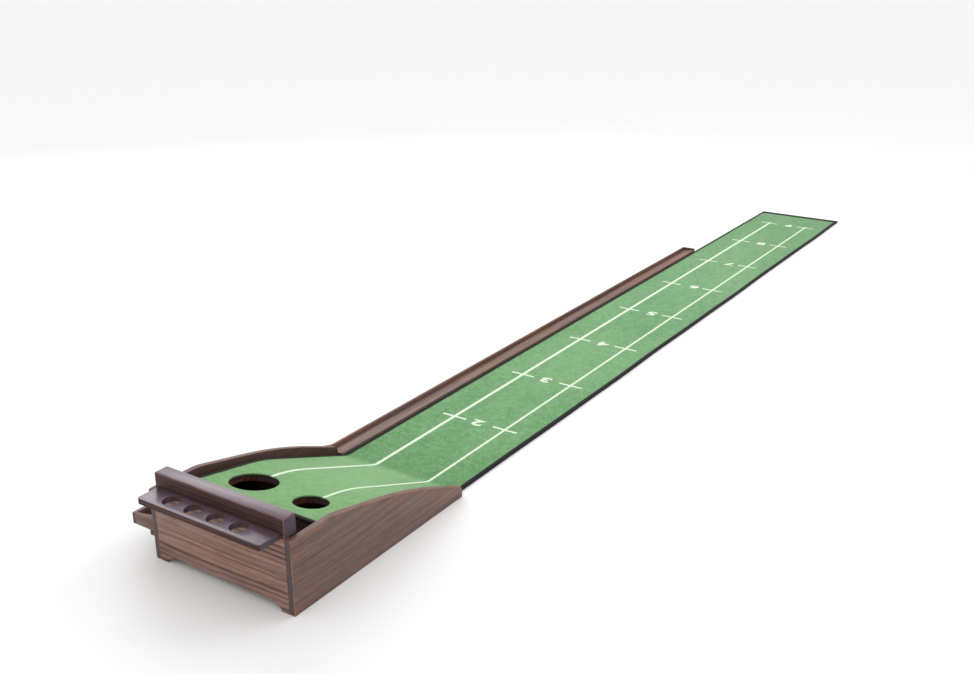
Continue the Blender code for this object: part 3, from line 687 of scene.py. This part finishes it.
# Just past the foot of the ramp the pile is brushed the other way and looks deeper, and the darkening is also
# painted shade at the foot of the ramp.
past_foot = add_node(tree, "ShaderNodeMapRange", Value=y, From_Min=RAMP_END + 0.16, From_Max=RAMP_END + 0.012)
off_ramp = math_node(tree, "SUBTRACT", 1.0, on_ramp.outputs[0])
brushed_and_shaded = math_node(tree, "MULTIPLY", past_foot.outputs[0], off_ramp)
green = mix_colours(tree, math_node(tree, "MULTIPLY", brushed_and_shaded, 0.22), green, (*GREEN_DARK, 1))
# Towards the far end the pile is less trodden and keeps its deeper green.
far_away = add_node(tree, "ShaderNodeMapRange", Value=y, From_Min=0.7, From_Max=1.5)
green = mix_colours(tree, math_node(tree, "MULTIPLY", far_away.outputs[0], 0.16), green, (*GREEN_DARK, 1))
# The printed lines are ink on the same tufts, and its colour breaks up with them.
INK_STOPS = ((0.30, (0.48, 0.66, 0.42)), (0.55, (0.76, 0.86, 0.68)))
ink = ramp(tree, tufts, *INK_STOPS)
tree.links.new(mix_colours(tree, printed, green, ink), shader.inputs["Base Color"])
shader.inputs["Roughness"].default_value = 0.92
shader.inputs["Specular IOR Level"].default_value = 0.15
shader.inputs["Sheen Weight"].default_value = 0.25
shader.inputs["Sheen Roughness"].default_value = 0.5
pile = math_node(tree, "ADD", tufts, math_node(tree, "MULTIPLY", clumps, 0.4))
bump = add_node(tree, "ShaderNodeBump", Strength=0.8, Distance=0.0012, Height=pile)
tree.links.new(bump.outputs[0], shader.inputs["Normal"])
turf.data.materials.append(turf_material)

# %% [markdown]
# ## The foot numbers
# Each row carries the number of feet to the hole, printed between the lines and read from the player's end.
# A number starts as a text object, becomes a mesh, and is laid on the turf as a thin film of ink.

# %% Numbers
NUMBER_SIZE = 0.040
NUMBER_STRETCH = 1.45
NUMBER_BOLD = 0.0017  # how far the outline of a number is moved out
INK_LIFT = 0.00015
ink_material = bpy.data.materials.new("turf ink")
ink_material.use_nodes = True
ink_tree = ink_material.node_tree
ink_shader = ink_tree.nodes["Principled BSDF"]
ink_place = add_node(ink_tree, "ShaderNodeTexCoord").outputs["Object"]
speckle = add_node(
    ink_tree, "ShaderNodeTexNoise", Vector=ink_place, Scale=420.0, Detail=4.0, Roughness=0.65
).outputs[0]
ink_tree.links.new(ramp(ink_tree, speckle, *INK_STOPS), ink_shader.inputs["Base Color"])
ink_shader.inputs["Roughness"].default_value = 0.92
ink_shader.inputs["Specular IOR Level"].default_value = 0.15
ink_bump = add_node(ink_tree, "ShaderNodeBump", Strength=0.8, Distance=0.0012, Height=speckle)
ink_tree.links.new(ink_bump.outputs[0], ink_shader.inputs["Normal"])

for row in range(ROWS):
    bpy.ops.object.select_all(action="DESELECT")
    bpy.ops.object.text_add(location=(0, 0, 0))
    text = bpy.context.active_object
    text.data.body = str(row + 2)
    text.data.size = NUMBER_SIZE
    text.data.align_x = "CENTER"
    text.data.align_y = "CENTER"
    text.data.offset = NUMBER_BOLD
    text.data.extrude = INK_LIFT
    text.data.resolution_u = 5
    bpy.ops.object.convert(target="MESH")
    number = bpy.context.active_object
    number.name = f"foot_number_{row + 2}"
    lay_flat = Matrix.Rotation(math.pi, 4, "Z") @ Matrix.Diagonal((NUMBER_STRETCH, 1, 1, 1))
    drift = 0.003 * min(row, 4) - 0.004  # the print runs off the middle by some millimetres
    spot = (CENTRE_X + drift, FIRST_ROW + row * FOOT, TURF_TOP)
    number.data.transform(Matrix.Translation(spot) @ lay_flat)
    number.data.materials.clear()
    number.data.materials.append(ink_material)
    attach(number, "mat")

# %% [markdown]
# ## Binding tape
# A woven tape is folded over each edge of the mat and sewn through both layers. A flat ribbon is cut first,
# as a grid, and every point of it is then moved to its place on the fold, so the weave's own map of length
# and width stays true. Solidify gives it the thickness of the cloth.

# %% Fold a ribbon over an edge
FLAT_FROM = 0.0048  # from here inward the legs of the tape are flat
TAPE = 0.0005
TAPE_WIDTH = 0.0090
TAPE_GAP = 0.0001  # between an end tape and the side tapes
FAR_WIDTH = float(far_high.y - far_low.y)
STACK = float(far_high.z - far_low.z)
FOLD_RADIUS = 0.0019
SEAM_IN = 0.0022  # from the tape's inner edge to its seam
CROWN_RISE = 0.0002  # the tape stands this much higher just inside its fold
CROWN_FROM, CROWN_TO = 0.0034, 0.0046
middle_low, middle_high = TAPE / 2, STACK - TAPE / 2


def fold_path():
    """Points (inward, up) along the middle of the cloth: bottom leg, round fold, top leg."""
    points = [(TAPE_WIDTH - 0.001, middle_low), (0.005, middle_low)]
    for corner_up, first in ((middle_low + FOLD_RADIUS, -90), (middle_high - FOLD_RADIUS, -180)):
        for step in range(5):
            angle = math.radians(first - 22.5 * step)
            inward = FOLD_RADIUS + TAPE / 2 + FOLD_RADIUS * math.cos(angle)
            points.append((inward, corner_up + FOLD_RADIUS * math.sin(angle)))
    points += [(place, middle_high + CROWN_RISE) for place in (CROWN_FROM, CROWN_TO)]
    seam = TAPE_WIDTH - SEAM_IN
    points += [(seam - 0.0012, middle_high), (seam, middle_high - 0.00018), (seam + 0.0012, middle_high)]
    points.append((TAPE_WIDTH - 0.0004, middle_high + 0.00008))
    return np.array(points)


path = fold_path()
path_length = np.concatenate([[0], np.cumsum(np.hypot(*np.diff(path, axis=0).T))])
print("the tape is", round(float(path_length[-1]) * 1000, 1), "mm wide before it is folded")


def ribbon(name, run, material):
    """A folded tape. run(inward, up, along) gives places for arrays, with along from 0 to 1."""
    across = len(path)
    bpy.ops.object.select_all(action="DESELECT")
    bpy.ops.mesh.primitive_grid_add(
        x_subdivisions=run.steps, y_subdivisions=across - 1, size=1, calc_uvs=True, location=(0, 0, 0)
    )
    piece = bpy.context.active_object
    piece.name = name
    mesh = piece.data
    flat = np.empty(len(mesh.vertices) * 3)
    mesh.vertices.foreach_get("co", flat)
    flat = flat.reshape(-1, 3)
    rank = np.rint((flat[:, 1] + 0.5) * (across - 1)).astype(int)
    placed = run.place(path[rank, 0], path[rank, 1], flat[:, 0] + 0.5)
    mesh.vertices.foreach_set("co", placed.reshape(-1))
    mesh.update()
    thick = piece.modifiers.new("cloth", "SOLIDIFY")
    thick.thickness = TAPE
    thick.offset = 0
    select_only(piece)
    bpy.ops.object.modifier_apply(modifier=thick.name)
    bpy.ops.object.mode_set(mode="EDIT")
    bpy.ops.mesh.select_all(action="SELECT")
    bpy.ops.mesh.normals_make_consistent(inside=False)
    bpy.ops.object.mode_set(mode="OBJECT")
    bpy.ops.object.shade_smooth_by_angle(angle=math.radians(60))
    mesh.materials.append(material)
    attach(piece, "mat")
    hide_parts(name.replace("tape", "binding"))
    print(name, len(mesh.polygons), "faces")
    return piece


# %% [markdown]
# ## Where the tapes run
# The side tapes follow the whole length of the mat, up the ramp and all. The two end tapes lie between them,
# and the far one is wider.

# %% Runs of the four tapes
class SideRun:
    """Along the left or right edge, from the head end to the far end."""

    steps = 420
    length = MAT_LENGTH

    def __init__(self, edge, inward):
        self.edge, self.inward = edge, inward

    def place(self, inward, up, along):
        length = along * MAT_LENGTH
        y, z = on_line(length, up - STACK + TAPE_STEP)
        x = self.edge + self.inward * inward
        if self.inward < 0:
            x = x + edge_wander(length)
        return np.stack([x, y, z], axis=1)


class EndRun:
    """Across the head end or the far end, between the side tapes."""

    steps = 60
    length = MAT_RIGHT - MAT_LEFT - 2 * TAPE_WIDTH

    def __init__(self, end):
        self.end = end

    def place(self, inward, up, along):
        left, right = MAT_LEFT + TAPE_WIDTH + TAPE_GAP, MAT_RIGHT - TAPE_WIDTH - TAPE_GAP
        if self.end == "far":
            # The far tape is wider: its flat legs are longer, and its fold and seam stay as they are.
            inward = np.where(inward > FLAT_FROM, inward + FAR_WIDTH - TAPE_WIDTH, inward)
        length = inward if self.end == "head" else MAT_LENGTH - inward
        y, z = on_line(length, up - STACK + TAPE_STEP)
        return np.stack([left + along * (right - left), y, z], axis=1)


runs = {
    "tape_left": SideRun(MAT_LEFT, 1),
    "tape_right": SideRun(MAT_RIGHT, -1),
    "tape_head": EndRun("head"),
    "tape_far": EndRun("far"),
}

# %% [markdown]
# ## Tape weave
# Close up, the tape is a fine herringbone of matt yarns. Its pattern follows the tape's own map, in
# millimetres along and across, and gives both the faint stripes of colour and the bump.

# %% Tape material
YARN = 1.1  # from one yarn to the next, in millimetres


def weave_material(name, length, width):
    material = bpy.data.materials.new(name)
    material.use_nodes = True
    tree = material.node_tree
    shader = tree.nodes["Principled BSDF"]
    chart = add_node(tree, "ShaderNodeTexCoord").outputs["UV"]
    millimetres = (length * 1000, width * 1000, 1)
    scaled = add_node(tree, "ShaderNodeMapping", Vector=chart, Scale=millimetres).outputs[0]
    u, v = add_node(tree, "ShaderNodeSeparateXYZ", Vector=scaled).outputs[:2]
    zigzag = math_node(tree, "PINGPONG", v, 2.0)
    slant = math_node(tree, "ADD", u, zigzag)
    twill = math_node(tree, "SINE", math_node(tree, "MULTIPLY", slant, 6.28 / YARN))
    yarn = math_node(tree, "MULTIPLY_ADD", twill, 0.5, 0.5)
    fuzz = add_node(tree, "ShaderNodeTexNoise", Vector=scaled, Scale=1.7, Detail=3.0).outputs[0]
    mixed = math_node(tree, "MULTIPLY_ADD", yarn, 0.55, math_node(tree, "MULTIPLY", fuzz, 0.45))
    colour = ramp(tree, mixed, (0.2, (0.006, 0.005, 0.006)), (0.8, (0.026, 0.023, 0.025)))
    tree.links.new(colour, shader.inputs["Base Color"])
    shader.inputs["Roughness"].default_value = 0.85
    shader.inputs["Specular IOR Level"].default_value = 0.12
    shader.inputs["Sheen Weight"].default_value = 0.04
    bump = add_node(tree, "ShaderNodeBump", Strength=0.5, Distance=0.0002, Height=mixed)
    tree.links.new(bump.outputs[0], shader.inputs["Normal"])
    return material


cloth_width = float(path_length[-1])
side_weave = weave_material("side tape weave", SideRun.length, cloth_width)
end_weave = weave_material("end tape weave", EndRun.length, cloth_width)
for name, run in runs.items():
    ribbon(name, run, side_weave if isinstance(run, SideRun) else end_weave)

# %% [markdown]
# ## Stitches
# One stitch is a short piece of thread, thick in the middle, with its ends sunk in the cloth. It is modelled
# once, from a six-sided cylinder, and the rest of each row is made of copies of it, one mesh for each row.

# %% One stitch
STITCH_PITCH = 0.0034
STITCH_LENGTH = 0.0026
THREAD = 0.00032
STITCH_SINK = 0.0001  # how far the middle of a stitch lies below the top of the tape

bpy.ops.object.select_all(action="DESELECT")
bpy.ops.mesh.primitive_cylinder_add(vertices=6, radius=THREAD, depth=STITCH_LENGTH, location=(0, 0, 0))
stitch = bpy.context.active_object
bpy.ops.object.mode_set(mode="EDIT")
bpy.ops.mesh.select_all(action="SELECT")
bpy.ops.mesh.bisect(plane_co=(0, 0, 0.0006), plane_no=(0, 0, 1))
bpy.ops.mesh.select_all(action="SELECT")
bpy.ops.mesh.bisect(plane_co=(0, 0, -0.0006), plane_no=(0, 0, 1))
bpy.ops.object.mode_set(mode="OBJECT")
for vertex in stitch.data.vertices:
    if abs(vertex.co.z) > 0.0010:
        vertex.co.x *= 0.55
        vertex.co.y = vertex.co.y * 0.55 - THREAD * 0.9
print("one stitch has", len(stitch.data.polygons), "faces")

# %% Rows of stitches
thread_material = bpy.data.materials.new("thread")
thread_material.use_nodes = True
thread_tree = thread_material.node_tree
thread_place = add_node(thread_tree, "ShaderNodeTexCoord").outputs["Object"]
strands = add_node(thread_tree, "ShaderNodeTexNoise", Vector=thread_place, Scale=1800.0, Detail=1.0)
thread_shader = thread_tree.nodes["Principled BSDF"]
THREAD_STOPS = ((0.3, (0.020, 0.018, 0.019)), (0.7, (0.075, 0.070, 0.072)))
thread_colour = ramp(thread_tree, strands.outputs[0], *THREAD_STOPS)
thread_tree.links.new(thread_colour, thread_shader.inputs["Base Color"])
thread_shader.inputs["Roughness"].default_value = 0.6

stitch_points = np.array([vertex.co for vertex in stitch.data.vertices])
stitch_faces = [list(face.vertices) for face in stitch.data.polygons]
bpy.data.objects.remove(stitch)


def stitch_row(name, run):
    """Stitches end to end along a run, on top of its tape."""
    count = int(run.length / STITCH_PITCH)
    centres = (np.arange(count) + 0.5) / count
    seam = np.full(count, TAPE_WIDTH - SEAM_IN)
    high = np.full(count, STACK - STITCH_SINK)
    half = 0.5 * STITCH_LENGTH / run.length
    start, end = (run.place(seam, high, centres + way * half) for way in (-1, 1))
    aside = run.place(seam + 0.001, high, centres)
    middle = (start + end) / 2
    forward = end - start
    forward /= np.linalg.norm(forward, axis=1)[:, None]
    sideways = aside - middle
    sideways -= (sideways * forward).sum(1)[:, None] * forward
    sideways /= np.linalg.norm(sideways, axis=1)[:, None]
    upward = np.cross(sideways, forward)
    upward *= np.sign(upward[:, 2])[:, None]
    sideways = np.cross(forward, upward)
    points = (
        middle[:, None]
        + stitch_points[None, :, 0, None] * -sideways[:, None]
        + stitch_points[None, :, 1, None] * upward[:, None]
        + stitch_points[None, :, 2, None] * forward[:, None]
    ).reshape(-1, 3)
    firsts = [number * len(stitch_points) for number in range(count)]
    faces = [[first + index for index in face] for first in firsts for face in stitch_faces]
    mesh = bpy.data.meshes.new(name)
    mesh.from_pydata(points.tolist(), [], faces)
    piece = bpy.data.objects.new(name, mesh)
    scene.collection.objects.link(piece)
    select_only(piece)
    bpy.ops.object.mode_set(mode="EDIT")
    bpy.ops.mesh.select_all(action="SELECT")
    bpy.ops.mesh.normals_make_consistent(inside=False)
    bpy.ops.object.mode_set(mode="OBJECT")
    bpy.ops.object.shade_smooth_by_angle(angle=math.radians(60))
    mesh.materials.append(thread_material)
    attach(piece, "mat")
    print(name, count, "stitches")
    return piece


seams = [stitch_row(name.replace("tape", "seam"), run) for name, run in runs.items()]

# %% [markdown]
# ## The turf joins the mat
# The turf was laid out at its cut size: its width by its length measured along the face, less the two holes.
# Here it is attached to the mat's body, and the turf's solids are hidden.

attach(turf, "mat")
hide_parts(*TURF_NODES)

# %% [markdown]
# ## The backing
# Black rubber with fine dimples lies under the turf. Dust makes it paler and rougher in patches.

# %% Backing rubber
backing_material = bpy.data.materials.new("backing rubber")
backing_material.use_nodes = True
backing_tree = backing_material.node_tree
backing_place = add_node(backing_tree, "ShaderNodeTexCoord").outputs["Object"]
dimples = add_node(backing_tree, "ShaderNodeTexVoronoi", Vector=backing_place, Scale=450.0)
dust = add_node(backing_tree, "ShaderNodeTexNoise", Vector=backing_place, Scale=60.0, Detail=4.0).outputs[0]
backing_shader = backing_tree.nodes["Principled BSDF"]
backing_colour = ramp(backing_tree, dust, (0.35, (0.014, 0.014, 0.015)), (0.70, (0.040, 0.039, 0.038)))
backing_tree.links.new(backing_colour, backing_shader.inputs["Base Color"])
backing_tree.links.new(ramp(backing_tree, dust, (0.3, 0.62), (0.7, 0.82)), backing_shader.inputs["Roughness"])
depth = dimples.outputs["Distance"]
backing_bump = add_node(backing_tree, "ShaderNodeBump", Strength=0.5, Distance=0.0004, Height=depth)
backing_tree.links.new(backing_bump.outputs[0], backing_shader.inputs["Normal"])
paint("mat_backing", backing_material)
